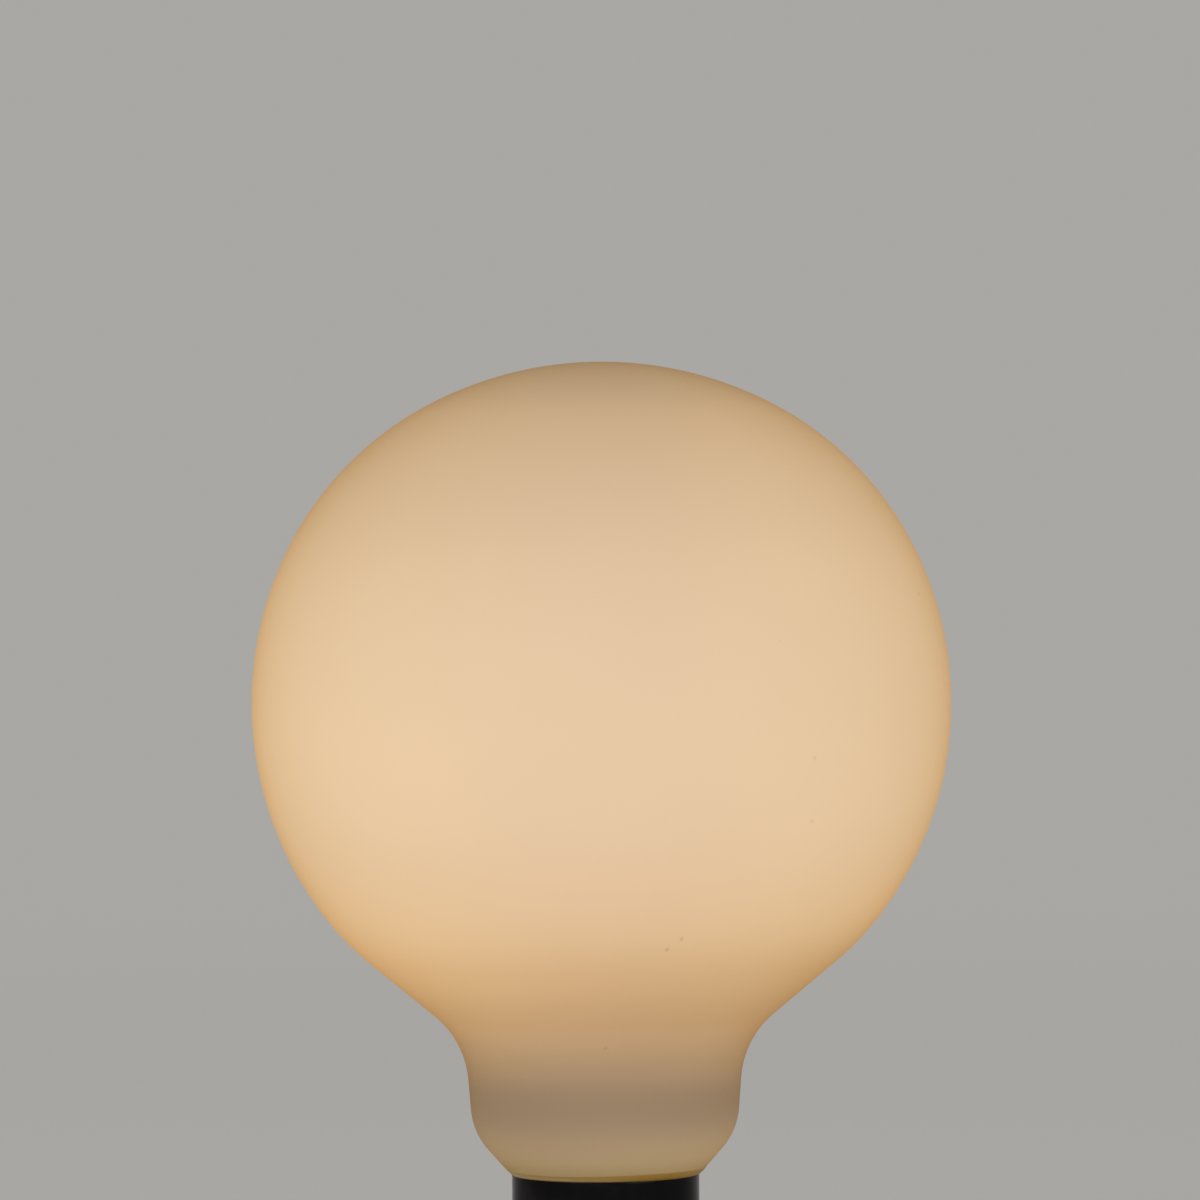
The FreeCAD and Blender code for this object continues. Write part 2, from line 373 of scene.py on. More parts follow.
@dataclass(frozen=True)
class OpalGlass(Finish):
    """Satin opal glass, lit warm from inside."""

    name: str = "opal_glass_lit"
    body: Colour = (0.2, 0.17, 0.125)
    core_glow: Colour = (1.0, 0.74, 0.52)
    amber_glow: Colour = (1.0, 0.61, 0.33)
    gilt_glow: Colour = (1.0, 0.7, 0.2)
    span: Span = (20.0, 140.0)
    glow: tuple[Stop, ...] = (
        Stop(27.5, 0.25), Stop(30, 0.31), Stop(36, 0.18), Stop(41, 0.26), Stop(46, 0.44), Stop(52, 0.57),
        Stop(60, 0.69), Stop(70, 0.71), Stop(90, 0.69), Stop(112, 0.6), Stop(130, 0.46), Stop(137, 0.33),
    )
    warmth: tuple[Stop, ...] = (
        Stop(29, 0.25), Stop(33, 0.65), Stop(36, 0.9), Stop(44, 0.9), Stop(52, 0.7), Stop(60, 0.36),
        Stop(76, 0.0), Stop(98, 0.0), Stop(120, 0.15), Stop(130, 0.25), Stop(135, 0.0),
    )
    gilding: tuple[Stop, ...] = (
        Stop(27, 0.9), Stop(28.5, 0.4), Stop(32, 0.25), Stop(35, 0.0), Stop(44, 0.0), Stop(54, 0.12),
        Stop(71, 0.0),
    )
    lean: tuple[Stop, ...] = (
        Stop(33, 0.24), Stop(43, 0.53), Stop(52, 0.74), Stop(64, 0.57), Stop(100, 0.56), Stop(130, 0.44),
    )
    even_lean: float = 0.5
    lean_range: float = 0.6
    reach: float = 47.5
    # Painted highlight: the glow is brightened by this tint on the sides towards -X and +X.
    flank_highlight_tint: Colour = (1.04, 1.06, 1.03)
    flank_highlight: Span = (0.1, 0.65)
    flank_foot: Span = (37.0, 41.0)
    flank_calm: float = 12.0
    veil: tuple[Stop, ...] = (Stop(27, 0.8), Stop(34, 0.6), Stop(46, 1.0))
    veil_ior: float = 1.02
    veil_tint: Colour = (0.93, 0.89, 0.82)
    veil_roughness: float = 0.45
    clouds: Grain = Grain(45.0, 2.0)
    body_mottle: Sway = Sway(1.0, 0.03)
    glow_mottle: Sway = Sway(1.0, 0.02)
    grain: Grain = Grain(1600.0, 3.0, 0.6)
    satin: Sway = Sway(0.56, 0.08)
    tooth: Relief = Relief(0.12, 0.04)
    specular: float = 0.12
    speck_edge: Span = (0.5, 1.3)
    specks: tuple[Speck, ...] = (
        Speck(105.2, -20, 0.28, 0.17), Speck(83.9, -54, 0.34, 0.09), Speck(75.6, -52.7, 0.3, 0.09),
        Speck(60.4, -73.8, 0.28, 0.15), Speck(59, -76.5, 0.3, 0.18), Speck(45.2, -89.6, 0.25, 0.13),
        Speck(99.2, -60.2, 0.25, 0.05),
    )

    def paint(self, board: Board, shader: bpy.types.Node) -> None:
        """Wires the body colour, the glow by height with a painted highlight on its sides towards -X and
        +X, the dust and the satin surface.
        """
        place = object_place(board)
        axes = board.split(place)
        share = board.climbed(axes.outputs["Z"], self.span, smooth=False)
        clouds = board.noise(place, self.clouds)
        level = board.vector("MULTIPLY", place, LEVEL).outputs[0]
        reach = board.vector("LENGTH", level, ORIGIN).outputs["Value"]
        dust = self.dust(board, place, reach)
        # The glow gets a painted highlight on its sides towards -X and +X.
        flank_highlight = self.painted_flank_highlight(board, axes, reach)
        glow = board.vector("MULTIPLY", self.light(board, axes, share, clouds), flank_highlight).outputs[0]
        body = board.scaled(self.body, board.swayed(clouds, self.body_mottle))
        board.feed(shader.inputs["Base Color"], board.scaled(body, dust))
        board.feed(shader.inputs["Emission Color"], board.scaled(glow, dust))
        shader.inputs["Emission Strength"].default_value = 1.0
        grain = board.noise(place, self.grain)
        board.feed(shader.inputs["Roughness"], board.swayed(grain, self.satin))
        board.feed(shader.inputs["Normal"], board.bump(grain, self.tooth))
        shader.inputs["Specular IOR Level"].default_value = self.specular
        board.feed(shader.inputs["Coat Weight"], board.ramp(share, self.veil, self.span))
        shader.inputs["Coat IOR"].default_value = self.veil_ior
        shader.inputs["Coat Tint"].default_value = (*self.veil_tint, 1.0)
        shader.inputs["Coat Roughness"].default_value = self.veil_roughness

    def light(self, board: Board, axes: bpy.types.Node, share: Socket, clouds: Socket) -> Socket:
        """Lays the lamp's glow on the glass by height, gilt by the cement at the foot.

        The globe glows a little more towards -X, the foot towards +X.

        Args:
            board: the material's tree.
            axes: node that gives the place's X.
            share: share of the span that the place has climbed.
            clouds: slow noise that mottles the glow.

        Returns:
            The emitted colour.
        """
        warmth = board.ramp(share, self.warmth, self.span)
        level = board.ramp(share, self.glow, self.span)
        lean = board.math("SUBTRACT", self.even_lean, board.ramp(share, self.lean, self.span))
        tilt = board.math("MULTIPLY", axes.outputs["X"], self.lean_range / (self.reach * MM))
        tilt = board.math("MULTIPLY_ADD", tilt, lean, 1.0)
        mottle = board.swayed(clouds, self.glow_mottle)
        gilding = board.ramp(share, self.gilding, self.span)
        hue = board.mixed(gilding, board.mixed(warmth, self.core_glow, self.amber_glow), self.gilt_glow)
        return board.scaled(hue, board.math("MULTIPLY", board.math("MULTIPLY", level, tilt), mottle))

    def painted_flank_highlight(self, board: Board, axes: bpy.types.Node, reach: Socket) -> Socket:
        """Paints a highlight on the globe's two sides, towards -X and +X, which brightens and gilds the
        glow there like a sheen along the sides.

        Args:
            board: the material's tree.
            axes: node that gives the place's X and Z.
            reach: distance from the axis.

        Returns:
            The painted highlight's tint, which the glow is multiplied by.
        """
        calm = board.math("SQRT", board.math("MULTIPLY_ADD", reach, reach, (self.flank_calm * MM) ** 2))
        aside = board.math("DIVIDE", board.math("ABSOLUTE", axes.outputs["X"]), calm)
        share = board.mapped(aside, *self.flank_highlight, 0.0, 1.0, smooth=True)
        foot = board.climbed(axes.outputs["Z"], self.flank_foot)
        return board.mixed(board.math("MULTIPLY", share, foot), WHITE, self.flank_highlight_tint)

    def dust(self, board: Board, place: Socket, reach: Socket) -> Socket:
        """Darkens the glass under each speck of dust.

        Args:
            board: the material's tree.
            place: place on the object.
            reach: distance from the axis.

        Returns:
            A factor, 1 on clean glass.
        """
        clean: Value = 1.0
        for speck in self.specks:
            turn = math.radians(speck.turn)
            spot = board.add("ShaderNodeVectorMath", operation="MULTIPLY_ADD")
            board.feed(spot.inputs[0], reach)
            board.feed(spot.inputs[1], (math.cos(turn), math.sin(turn), 0.0))
            board.feed(spot.inputs[2], (0.0, 0.0, speck.height * MM))
            away = board.vector("DISTANCE", place, spot.outputs[0]).outputs["Value"]
            core, edge = (share * speck.radius * MM for share in self.speck_edge)
            shade = board.mapped(away, core, edge, 1 - speck.shade, 1.0, smooth=True)
            clean = board.math("MULTIPLY", clean, shade)
        return clean


@dataclass(frozen=True)
class BasingCement(Finish):
    """Amber basing cement, grainy and uneven."""

    name: str = "basing_cement"
    pale: Colour = (0.57, 0.375, 0.145)
    deep: Colour = (0.43, 0.238, 0.028)
    # Painted shadow colour for the crevice low on the bead, over the cap's rim.
    rim_shadow: Colour = (0.10, 0.048, 0.010)
    thick_side: float = 9.0
    thick_share: float = 0.95
    rim_shadow_band: Span = (26.6, 26.88)
    fading: Span = (27.4, 27.8)
    faded_share: float = 0.6
    patches: Grain = Grain(350.0, 3.0)
    patchiness: Sway = Sway(0.0, 0.35)
    grain: Grain = Grain(4000.0, 4.0, 0.65)
    dullness: Sway = Sway(0.5, 0.12)
    tooth: Relief = Relief(0.35, 0.06)
    specular: float = 0.4

    def paint(self, board: Board, shader: bpy.types.Node) -> None:
        """Wires the amber, deeper where the bead is thick, darkened by a painted shadow low along the rim,
        and its grain.
        """
        place = object_place(board)
        axes = board.split(place)
        patches = board.noise(place, self.patches)
        grain = board.noise(place, self.grain)
        side = self.thick_side * MM
        thick = board.mapped(axes.outputs["X"], -side, side, 0.0, self.thick_share, smooth=True)
        share = board.math("ADD", thick, board.swayed(patches, self.patchiness))
        faded = board.climbed(axes.outputs["Z"], self.fading, 1.0, self.faded_share)
        share = board.math("MULTIPLY", share, faded)
        # Painted shadow: below this band the bead turns dark brown, where shade falls over the rim.
        clear = board.climbed(axes.outputs["Z"], self.rim_shadow_band)
        amber = board.mixed(share, self.pale, self.deep)
        board.feed(shader.inputs["Base Color"], board.mixed(clear, self.rim_shadow, amber))
        board.feed(shader.inputs["Roughness"], board.swayed(grain, self.dullness))
        board.feed(shader.inputs["Normal"], board.bump(grain, self.tooth))
        shader.inputs["Specular IOR Level"].default_value = self.specular


@dataclass(frozen=True)
class BlackNickel(Finish):
    """Bright black nickel plate on rolled sheet; its colour is darker than a real plate, which paints in
    the dark reflection of dim surroundings.
    """

    name: str = "black_nickel_dark_reflection"
    # Painted reflection: plate and rubbed are darker than real plate, so the cap shows dark surroundings
    # mirrored in it.
    plate: Colour = (0.013, 0.0125, 0.013)
    rubbed: Colour = (0.024, 0.0225, 0.022)
    edge: Colour = (0.74, 0.73, 0.75)
    stretch: Point = (0.25, 0.25, 9.0)
    marks: Grain = Grain(420.0, 3.0, 0.6)
    haze: Grain = Grain(160.0, 3.0)
    hazed: Span = (0.45, 0.75)
    haze_dulling: float = 0.06
    polish: Sway = Sway(0.13, 0.05)
    rolling: Relief = Relief(0.08, 0.02)

    def paint(self, board: Board, shader: bpy.types.Node) -> None:
        """Wires the plate's colour, which holds painted dark reflection, its rolling marks and its faint
        handling haze.
        """
        place = object_place(board)
        stretch = board.add("ShaderNodeMapping", vector_type="POINT")
        stretch.inputs["Scale"].default_value = self.stretch
        board.feed(stretch.inputs["Vector"], place)
        marks = board.noise(stretch.outputs[0], self.marks)
        haze = board.noise(place, self.haze)
        share = board.mapped(haze, *self.hazed, 0.0, 1.0, smooth=True)
        board.feed(shader.inputs["Base Color"], board.mixed(share, self.plate, self.rubbed))
        polish = board.swayed(marks, self.polish)
        board.feed(shader.inputs["Roughness"], board.math("MULTIPLY_ADD", share, self.haze_dulling, polish))
        board.feed(shader.inputs["Normal"], board.bump(marks, self.rolling))
        shader.inputs["Metallic"].default_value = 1.0
        shader.inputs["Specular Tint"].default_value = (*self.edge, 1.0)


@dataclass(frozen=True)
class BlackGlass(Finish):
    """Moulded black glass with a fired skin."""

    name: str = "moulded_black_glass"
    deep: Colour = (0.010, 0.010, 0.011)
    skin: Colour = (0.022, 0.020, 0.019)
    clouds: Grain = Grain(300.0, 3.0)
    waves: Grain = Grain(700.0, 1.0)
    polish: Sway = Sway(0.16, 0.08)
    swell: Relief = Relief(0.25, 0.08)
    ior: float = 1.52

    def paint(self, board: Board, shader: bpy.types.Node) -> None:
        """Wires the black body, its cloudy skin and its shallow mould waves."""
        place = object_place(board)
        clouds = board.noise(place, self.clouds)
        waves = board.noise(place, self.waves)
        board.feed(shader.inputs["Base Color"], board.mixed(clouds, self.deep, self.skin))
        board.feed(shader.inputs["Roughness"], board.swayed(clouds, self.polish))
        board.feed(shader.inputs["Normal"], board.bump(waves, self.swell))
        shader.inputs["IOR"].default_value = self.ior


@dataclass(frozen=True)
class TinnedBrass(Finish):
    """Tinned brass, stamped and slightly dull."""

    name: str = "tinned_brass"
    tin: Colour = (0.66, 0.63, 0.56)
    brass: Colour = (0.60, 0.47, 0.24)
    patches: Grain = Grain(500.0, 4.0, 0.6)
    worn: Span = (0.5, 0.72)
    worn_share: float = 0.8
    dullness: Sway = Sway(0.32, 0.12)
    grain: Grain = Grain(5000.0, 3.0)
    tooth: Relief = Relief(0.15, 0.03)

    def paint(self, board: Board, shader: bpy.types.Node) -> None:
        """Wires the tin, the brass that shows through it and the dull stamping grain."""
        place = object_place(board)
        patches = board.noise(place, self.patches)
        grain = board.noise(place, self.grain)
        share = board.mapped(patches, *self.worn, 0.0, self.worn_share, smooth=True)
        board.feed(shader.inputs["Base Color"], board.mixed(share, self.tin, self.brass))
        board.feed(shader.inputs["Roughness"], board.swayed(patches, self.dullness))
        board.feed(shader.inputs["Normal"], board.bump(grain, self.tooth))
        shader.inputs["Metallic"].default_value = 1.0


class Outline:
    """A half-section of straight and round runs, as (radius, height) places in millimetres."""

    def __init__(self, step: float) -> None:
        """Takes the longest step along the outline."""
        self.step = step
        self.places: list[Place] = []

    def to(self, radius: float, height: float) -> "Outline":
        """Starts at a place, or runs straight to it.

        Args:
            radius: the place's radius.
            height: the place's height.

        Returns:
            The outline.
        """
        if self.places:
            start = Vector(self.places[-1])
            run = Vector((radius, height)) - start
            count = max(1, math.ceil(run.length / self.step))
            self.places += [tuple(start + run * (index / count)) for index in range(1, count)]
        self.places.append((radius, height))
        return self

    def corner(self, radius: float, height: float) -> "Outline":
        """Runs to a place in one long step."""
        self.places.append((radius, height))
        return self

    def round(self, centre: Place, radius: float, start: float, end: float) -> "Outline":
        """Runs along an arc.

        Args:
            centre: the arc's centre.
            radius: the arc's radius.
            start: first angle in degrees, from the level outward direction.
            end: last angle in degrees.

        Returns:
            The outline.
        """
        first, last = math.radians(start), math.radians(end)
        count = max(ARC_STEPS, math.ceil(radius * abs(last - first) / self.step))
        for index in range(count + 1):
            angle = first + (last - first) * index / count
            place = (centre[0] + radius * math.cos(angle), centre[1] + radius * math.sin(angle))
            if not self.places or math.dist(place, self.places[-1]) > SAME_PLACE:
                self.places.append(place)
        return self


def outward(degrees: float) -> Vector:
    """Gives the direction in a half-section that points out, and down by an angle."""
    return Vector((math.cos(math.radians(degrees)), -math.sin(math.radians(degrees))))


def along(degrees: float) -> Vector:
    """Gives the direction in a half-section that points up, and out by an angle."""
    return Vector((math.sin(math.radians(degrees)), math.cos(math.radians(degrees))))


def turned(name: str, places: Sequence[Place], segments: int, closed: bool = False) -> bpy.types.Object:
    """Turns a half-section about the bulb's axis.

    Args:
        name: name of the piece.
        places: (radius, height) places in millimetres; those on the axis become poles.
        segments: number of steps round the axis.
        closed: whether the last place joins the first, as in a ring.

    Returns:
        The new piece, with its place in its mesh.
    """
    shape = bmesh.new()
    rings = []
    for radius, height in places:
        if radius < SAME_PLACE:
            rings.append([shape.verts.new((0.0, 0.0, height * MM))])
            continue
        angles = (math.tau * index / segments for index in range(segments))
        ring = ((radius * math.cos(angle), radius * math.sin(angle), height) for angle in angles)
        rings.append([shape.verts.new(Vector(place) * MM) for place in ring])
    pairs = list(zip(rings, rings[1:]))
    if closed:
        pairs.append((rings[-1], rings[0]))
    for upper, lower in pairs:
        for index in range(segments):
            after = (index + 1) % segments
            corners = [upper[index % len(upper)], lower[index % len(lower)],
                       lower[after % len(lower)], upper[after % len(upper)]]
            shape.faces.new(list(dict.fromkeys(corners)))
    bmesh.ops.recalc_face_normals(shape, faces=shape.faces)
    mesh = bpy.data.meshes.new(name)
    shape.to_mesh(mesh)
    shape.free()
    piece = bpy.data.objects.new(name, mesh)
    bpy.context.scene.collection.objects.link(piece)
    return piece


def eased(share: float) -> float:
    """Eases a share between 0 and 1 at both ends."""
    return share ** 2 * (3 - 2 * share)


def smooth(piece: bpy.types.Object) -> None:
    """Shades a piece smooth, with its sharp corners kept."""
    piece.data.shade_smooth()
    piece.data.set_sharp_from_angle(angle=SHARP_ANGLE)


def settle(piece: bpy.types.Object) -> None:
    """Turns a piece's modifiers into its plain mesh and removes them."""
    graph = bpy.context.evaluated_depsgraph_get()
    made = bpy.data.meshes.new_from_object(piece.evaluated_get(graph), depsgraph=graph)
    former = piece.data
    piece.modifiers.clear()
    piece.data = made
    made.name = former.name
    bpy.data.meshes.remove(former)


def hand_over(piece: bpy.types.Object, node: Node) -> None:
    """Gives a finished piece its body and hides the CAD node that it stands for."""
    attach(piece, BODY)
    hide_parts(node.value)
    log.info("%s stands for %s: %d faces", piece.name, node.value, len(piece.data.polygons))


class Piece(ABC):
    """A finished piece of the bulb, which stands for one CAD node."""

    node: ClassVar[Node]
    slot: ClassVar[Slot]
    finish: Finish

    @abstractmethod
    def shape(self) -> bpy.types.Object:
        """Makes the bare piece."""

    def build(self) -> None:
        """Makes the piece, smooths it and dresses it."""
        piece = self.shape()
        smooth(piece)
        self.dress(piece)

    def dress(self, piece: bpy.types.Object) -> None:
        """Gives the piece its finish, unless a tree has set it, and hands it over."""
        if not piece.data.materials:
            piece.data.materials.append(self.finish.material())
        hand_over(piece, self.node)


class ShapeRule(ABC):
    """A Geometry Nodes tree with named inputs that shapes a piece."""

    name: str

    def __init__(self) -> None:
        """Starts the tree with a geometry input and output."""
        self.tree = bpy.data.node_groups.new(self.name, "GeometryNodeTree")
        self.tree.interface.new_socket("Geometry", in_out="INPUT", socket_type="NodeSocketGeometry")
        self.tree.interface.new_socket("Geometry", in_out="OUTPUT", socket_type="NodeSocketGeometry")
        self.board = Board(self.tree)
        self.source: bpy.types.Node = self.board.add("NodeGroupInput")
        self.keys: dict[str, str] = {}

    def ask(self, name: str, kind: str = "NodeSocketFloat") -> Socket:
        """Adds a named input.

        Args:
            name: name of the input.
            kind: Blender's name of the socket type.

        Returns:
            The input's socket inside the tree.
        """
        made = self.tree.interface.new_socket(name, in_out="INPUT", socket_type=kind)
        self.keys[name] = made.identifier
        return next(socket for socket in self.source.outputs if socket.identifier == made.identifier)

    def outward(self, place: Socket) -> Socket:
        """Gives the level direction away from the axis."""
        away = self.board.add("ShaderNodeVectorMath", operation="NORMALIZE")
        self.board.feed(away.inputs[0], self.board.vector("MULTIPLY", place, LEVEL).outputs[0])
        return away.outputs[0]

    def close(self, offset: Socket) -> None:
        """Moves the points by an offset and ends the tree in a realized shape with its material."""
        moved = self.board.add("GeometryNodeSetPosition")
        self.board.feed(moved.inputs["Geometry"], self.source.outputs[0])
        self.board.feed(moved.inputs["Offset"], offset)
        finish = self.ask("Finish", "NodeSocketMaterial")
        solid = self.board.add("GeometryNodeRealizeInstances")
        dressed = self.board.add("GeometryNodeSetMaterial")
        sink = self.board.add("NodeGroupOutput")
        self.board.feed(solid.inputs[0], moved.outputs[0])
        self.board.feed(dressed.inputs["Geometry"], solid.outputs[0])
        self.board.feed(dressed.inputs["Material"], finish)
        self.board.feed(sink.inputs[0], dressed.outputs[0])

    def lay_on(self, piece: bpy.types.Object, **sizes: object) -> None:
        """Adds the tree to a piece.

        Args:
            piece: the piece to shape.
            sizes: values of the named inputs, with spaces written as underscores.
        """
        rule = piece.modifiers.new(self.name, "NODES")
        rule.node_group = self.tree
        for name, value in sizes.items():
            rule[self.keys[name.replace("_", " ")]] = value


class RolledThread(ShapeRule):
    """Rolls a round right-hand thread into a turned wall."""

    name = "rolled_thread"

    def __init__(self) -> None:
        """Builds the tree: arcs of one radius, crest and root in turn, along a helix."""
        super().__init__()
        pitch, round_radius, half_depth = self.ask("Pitch"), self.ask("Round"), self.ask("Half Depth")
        bottom, top = self.ask("Bottom"), self.ask("Top")
        lead_in, lead_out = self.ask("Lead In"), self.ask("Lead Out")
        board = self.board
        place = board.add("GeometryNodeInputPosition").outputs[0]
        across, ahead, height = board.split(place).outputs
        turns = board.math("DIVIDE", board.math("ARCTAN2", ahead, across), math.tau)
        phase = board.math("SUBTRACT", board.math("DIVIDE", height, pitch), turns)
        # The phase grows by 1 a pitch, so crest and root are half apart and the arcs meet at the quarters.
        from_crest = board.math("SUBTRACT", 0.25, board.math("PINGPONG", phase, 0.5))
        side = board.math("SIGN", from_crest)
        from_arc = board.math("SUBTRACT", 0.25, board.math("ABSOLUTE", from_crest))
        offset = board.math("MULTIPLY", pitch, from_arc)
        spread = board.math("SUBTRACT", board.math("MULTIPLY", round_radius, round_radius),
                            board.math("MULTIPLY", offset, offset))
        floor = board.math("SUBTRACT", round_radius, half_depth)
        rise = board.math("MULTIPLY", side, board.math("SUBTRACT", board.math("SQRT", spread), floor))
        start = board.mapped(height, bottom, board.math("ADD", bottom, lead_in), 0.0, 1.0, smooth=True)
        end = board.mapped(height, board.math("SUBTRACT", top, lead_out), top, 1.0, 0.0, smooth=True)
        rise = board.math("MULTIPLY", rise, board.math("MULTIPLY", start, end))
        self.close(board.scaled(self.outward(place), rise))


class SqueezedBead(ShapeRule):
    """Squeezes a turned bead out unevenly round the rim."""

    name = "squeezed_bead"
    swell_start = -0.2
    lumps = Grain(260.0, 2.0)
    lump_sway = Sway(0.0, 1.0)

    def __init__(self) -> None:
        """Builds the tree: a swell and a climb towards one side, and a fine seeded unevenness."""
        super().__init__()
        recess, swell, unevenness = self.ask("Recess"), self.ask("Swell"), self.ask("Unevenness")
        turn, climb, seat_lean = self.ask("Turn"), self.ask("Climb"), self.ask("Seat Lean")
        board = self.board
        place = board.add("GeometryNodeInputPosition").outputs[0]
        across, ahead, _ = board.split(place).outputs
        angle = board.math("SUBTRACT", board.math("ARCTAN2", ahead, across), turn)
        towards = board.math("COSINE", angle)
        swollen = board.mapped(towards, self.swell_start, 1.0, 0.0, 1.0, smooth=True)
        slow = board.math("SUBTRACT", board.math("MULTIPLY", swell, swollen), recess)
        lumps = board.swayed(board.noise(place, self.lumps), self.lump_sway)
        fine = board.math("MULTIPLY", unevenness, lumps)
        push = board.math("MULTIPLY", self.mark(CementBead.SHARE), board.math("ADD", slow, fine))
        wet = board.math("MULTIPLY", swollen, self.mark(CementBead.HEAD))
        wetted = board.math("MULTIPLY", climb, wet)
        push = board.math("MULTIPLY_ADD", wetted, board.math("SINE", seat_lean), push)
        rise = board.add("ShaderNodeCombineXYZ")
        board.feed(rise.inputs["Z"], board.math("MULTIPLY", wetted, board.math("COSINE", seat_lean)))
        offset = board.vector("ADD", board.scaled(self.outward(place), push), rise.outputs[0])
        self.close(offset.outputs[0])

    def mark(self, name: str) -> Socket:
        """Reads a mark that the bead's points carry."""
        read = self.board.add("GeometryNodeInputNamedAttribute", data_type="FLOAT")
        read.inputs["Name"].default_value = name
        return read.outputs[0]


@dataclass
class CapSizes:
    """Sizes that the cap's pieces and the glass share, in millimetres."""

    sheet: float = 0.3
    crest_radius: float = 13.1
    thread_depth: float = 1.05
    thread_pitch: float = 3.629
    collar_radius: float = 12.75
    lip_height: float = 4.6
    curl_radius: float = 3.0
    thread_top: float = 20.887
    collar_bottom: float = 21.487
    rim_height: float = 26.637
    glass_end_height: float = 27.287
    glass_end_radius: float = 13.38
    seal_radius: float = 11.3
    seat_lean: float = 41.7
    contact_height: float = 1.2

    @property
    def root_radius(self) -> float:
        """Radius at the bottom of the thread."""
        return self.crest_radius - self.thread_depth

    @property
    def middle_radius(self) -> float:
        """Radius halfway up the thread."""
        return self.crest_radius - self.thread_depth / 2

    @property
    def lip_radius(self) -> float:
        """Radius of the lip that grips the insulator."""
        return self.root_radius - self.curl_radius

    @property
    def curl_top(self) -> float:
        """Height where the curl ends and the thread begins."""
        return self.lip_height + self.curl_radius

    @property
    def collar_bore(self) -> float:
        """Inner radius of the collar."""
        return self.collar_radius - self.sheet

    @property
    def collar_floor(self) -> float:
        """Height of the collar's inner shoulder."""
        return self.collar_bottom + self.sheet / 2


@dataclass
class GlassEnvelope(Piece):
    """The blown glass, from its crown to the sealed end inside the cap."""

    node = Node.GLASS
    slot = Slot.OPAL_GLASS

    cap: CapSizes
    finish: OpalGlass
    globe_radius: float = 47.5
    crown_drop: float = 1.1
    crown_flattening: float = 2.9
    shoulder_tightening: float = 3.0
    underside_tightening: float = 8.5
    flank_lean: float = 50.3
    flank_inset: float = 0.22
    throat_radius: float = 12.6
    neck_radius: float = 18.55
    neck_lean: float = 4.4
    neck_length: float = 4.1
    heel_radius: float = 9.2
    end_round: float = 0.35
    seal_chamfer: float = 0.6
    step: float = 0.75
    segments: int = 224

    def outline(self) -> list[Place]:
        """Works the blown outline up from the glass end, then draws it from the crown down.

        Returns:
            The half-section's places.
        """
        end = Vector((self.cap.glass_end_radius, self.cap.glass_end_height))
        heel_run = self.heel_radius * (outward(self.neck_lean).x - outward(self.cap.seat_lean).x)
        neck_run = self.neck_length * along(self.neck_lean).x
        seat_length = (self.neck_radius - end.x - heel_run - neck_run) / along(self.cap.seat_lean).x
        heel = end + along(self.cap.seat_lean) * seat_length
        heel -= outward(self.cap.seat_lean) * self.heel_radius
        neck_top = (heel + outward(self.neck_lean) * self.heel_radius
                    + along(self.neck_lean) * self.neck_length)
        throat = neck_top + outward(self.neck_lean) * self.throat_radius
        normal = outward(self.flank_lean)
        flank_bottom = throat - normal * self.throat_radius
        flank_reach = self.globe_radius - self.flank_inset
        globe = Vector((0.0, (normal.dot(flank_bottom) - flank_reach) / normal.y))
        low_turn = math.acos(1 - self.flank_inset / self.underside_tightening)
        globe_low = self.flank_lean - math.degrees(low_turn)
        underside = globe + outward(globe_low) * self.underside_tightening
        depth = self.crown_flattening + self.crown_drop
        tight = self.shoulder_tightening
        reach = self.crown_flattening + tight
        rise = (reach ** 2 - tight ** 2 - depth ** 2) / (2 * tight * depth)
        globe_high = math.degrees(math.asin(rise))
        shoulder = globe + outward(-globe_high) * tight
        crown = globe - Vector((0.0, depth))
        spread = shoulder - crown
        shoulder_high = math.degrees(math.atan2(spread.y, spread.x))
        drawn = Outline(self.step)
        drawn.round(crown, self.globe_radius + self.crown_flattening, 90, shoulder_high)
        drawn.round(shoulder, self.globe_radius - tight, shoulder_high, globe_high)
        drawn.round(globe, self.globe_radius, globe_high, -globe_low)
        underside_radius = self.globe_radius - self.underside_tightening
        drawn.round(underside, underside_radius, -globe_low, -self.flank_lean)
        drawn.round(throat, self.throat_radius, 180 - self.flank_lean, 180 - self.neck_lean)
        drawn.round(heel, self.heel_radius, -self.neck_lean, -self.cap.seat_lean)
        self.finish_end(drawn, end)
        return [(0.0, drawn.places[0][1]), *drawn.places[1:]]

    def finish_end(self, drawn: Outline, end: Vector) -> None:
        """Rounds the fire-polished end and draws the sealed part inside the cap."""
        run = self.end_round / math.tan(math.radians(90 + self.cap.seat_lean) / 2)
        start = end + along(self.cap.seat_lean) * run
        centre = start - outward(self.cap.seat_lean) * self.end_round
        drawn.round(centre, self.end_round, -self.cap.seat_lean, -90)
        drawn.corner(self.cap.seal_radius, self.cap.glass_end_height)
        drawn.corner(self.cap.seal_radius, self.cap.collar_floor + self.seal_chamfer)
        drawn.corner(self.cap.seal_radius - self.seal_chamfer, self.cap.collar_floor)
        drawn.corner(0.0, self.cap.collar_floor)

    def shape(self) -> bpy.types.Object:
        """Blows the glass."""
        return turned("opal_globe", self.outline(), self.segments)


